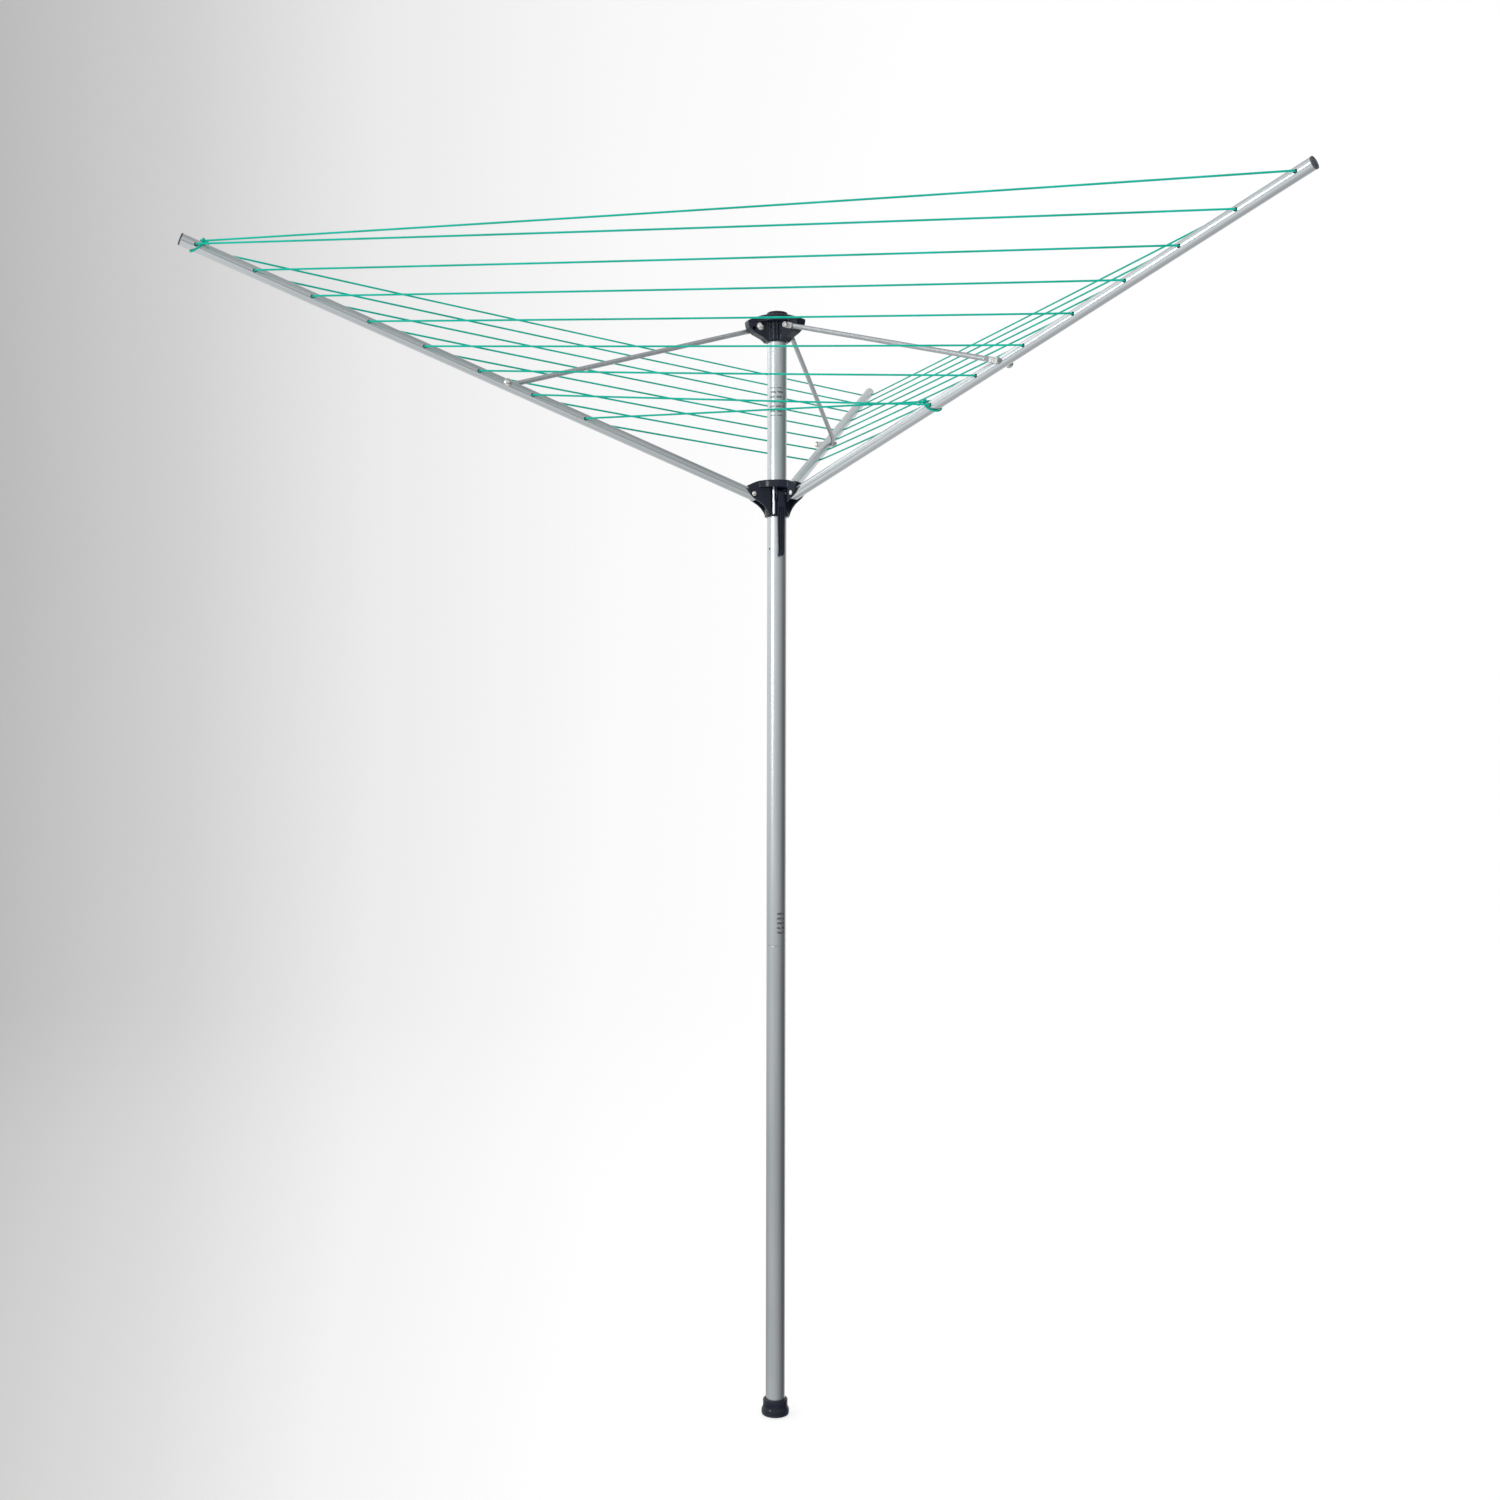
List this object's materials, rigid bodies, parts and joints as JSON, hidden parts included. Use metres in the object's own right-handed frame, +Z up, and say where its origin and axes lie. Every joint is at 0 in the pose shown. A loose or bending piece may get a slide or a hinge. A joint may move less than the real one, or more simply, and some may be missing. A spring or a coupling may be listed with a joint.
{
  "type": "rotary clothesline",
  "caption": "Folding rotary clothesline: an aluminium mast with hinged arms on a sliding runner, rod struts to a top hub, and one line wound round the drilled arms.",
  "frame": {"origin": "centre of the foot cup's flat underside, on the mast's axis", "axes": "+Z up along the mast; the back arm points to +Y, and the other two arms to 210 and 330 degrees from +X"},
  "size_m": [1.6404, 1.4231, 1.8756],
  "materials": {
    "aluminium_tube": "satin drawn aluminium with faint lengthwise lines",
    "steel_rod": "zinc-plated grey rod",
    "bright_steel": "bright plated fasteners",
    "navy_plastic": "moulded navy-black plastic, semi-gloss",
    "teal_line": "teal PVC-covered line, smooth semi-gloss"
  },
  "bodies": {
    "foot": {"foot_cup": "navy_plastic"},
    "mast": {"lower_mast_tube": "aluminium_tube", "upper_mast_tube": "aluminium_tube", "mast_ferrule": "aluminium_tube", "top_hub": "navy_plastic", "top_cap": "navy_plastic", "hub_bolt_back": "bright_steel", "hub_bolt_left": "bright_steel", "hub_bolt_right": "bright_steel", "hub_nut_back": "bright_steel", "hub_nut_left": "bright_steel", "hub_nut_right": "bright_steel"},
    "runner": {"runner": "navy_plastic", "lever_pin": "bright_steel", "pivot_rivet_back": "bright_steel", "pivot_rivet_left": "bright_steel", "pivot_rivet_right": "bright_steel", "clothesline": "teal_line"},
    "lever": {"release_lever": "navy_plastic"},
    "arm_b": {"arm_back": "aluminium_tube", "arm_cap_back": "navy_plastic", "elbow_bolt_back": "bright_steel", "elbow_washer_back": "bright_steel", "elbow_spacer_back": "aluminium_tube", "elbow_nut_back": "bright_steel"},
    "arm_l": {"arm_left": "aluminium_tube", "arm_cap_left": "navy_plastic", "elbow_bolt_left": "bright_steel", "elbow_washer_left": "bright_steel", "elbow_spacer_left": "aluminium_tube", "elbow_nut_left": "bright_steel"},
    "arm_r": {"arm_right": "aluminium_tube", "arm_cap_right": "navy_plastic", "elbow_bolt_right": "bright_steel", "elbow_washer_right": "bright_steel", "elbow_spacer_right": "aluminium_tube", "elbow_nut_right": "bright_steel"},
    "strut_b": {"strut_back": "steel_rod"},
    "strut_l": {"strut_left": "steel_rod"},
    "strut_r": {"strut_right": "steel_rod"}
  },
  "joints": [
    {"name": "mast_spin", "type": "hinge", "parent": "foot", "child": "mast", "pos_m": [0, 0, 0], "axis": [0, 0, 1], "continuous": true},
    {"name": "runner_slide", "type": "slide", "parent": "mast", "child": "runner", "axis": [0, 0, -1], "range_m": [0, 0.594], "deforming": ["clothesline"]},
    {"name": "arm_b_hinge", "type": "hinge", "parent": "runner", "child": "arm_b", "pos_m": [0, 0.043, 1.52], "axis": [1, 0, 0], "range_deg": [0, 67]},
    {"name": "arm_l_hinge", "type": "hinge", "parent": "runner", "child": "arm_l", "pos_m": [-0.03724, -0.0215, 1.52], "axis": [-0.5, 0.866, 0], "range_deg": [0, 67]},
    {"name": "arm_r_hinge", "type": "hinge", "parent": "runner", "child": "arm_r", "pos_m": [0.03724, -0.0215, 1.52], "axis": [-0.5, -0.866, 0], "range_deg": [0, 67]},
    {"name": "strut_b_hinge", "type": "hinge", "parent": "mast", "child": "strut_b", "pos_m": [0, 0.032, 1.795], "axis": [-1, 0, 0], "range_deg": [0, 71]},
    {"name": "strut_l_hinge", "type": "hinge", "parent": "mast", "child": "strut_l", "pos_m": [-0.02771, -0.016, 1.795], "axis": [0.5, -0.866, 0], "range_deg": [0, 71]},
    {"name": "strut_r_hinge", "type": "hinge", "parent": "mast", "child": "strut_r", "pos_m": [0.02771, -0.016, 1.795], "axis": [0.5, 0.866, 0], "range_deg": [0, 71]},
    {"name": "lever_hinge", "type": "hinge", "parent": "runner", "child": "lever", "pos_m": [0.01164, -0.02099, 1.521], "axis": [-0.8746, -0.4848, 0], "range_deg": [0, 20], "stiffness_Nm_per_rad": 0.3, "springref_deg": -11.46}
  ],
  "couplings": [
    {"joint": "arm_b_hinge", "follows": "runner_slide", "rad_per_m": 1.9656},
    {"joint": "arm_l_hinge", "follows": "runner_slide", "rad_per_m": 1.9656},
    {"joint": "arm_r_hinge", "follows": "runner_slide", "rad_per_m": 1.9656},
    {"joint": "strut_b_hinge", "follows": "runner_slide", "rad_per_m": 2.0791},
    {"joint": "strut_l_hinge", "follows": "runner_slide", "rad_per_m": 2.0791},
    {"joint": "strut_r_hinge", "follows": "runner_slide", "rad_per_m": 2.0791}
  ]
}
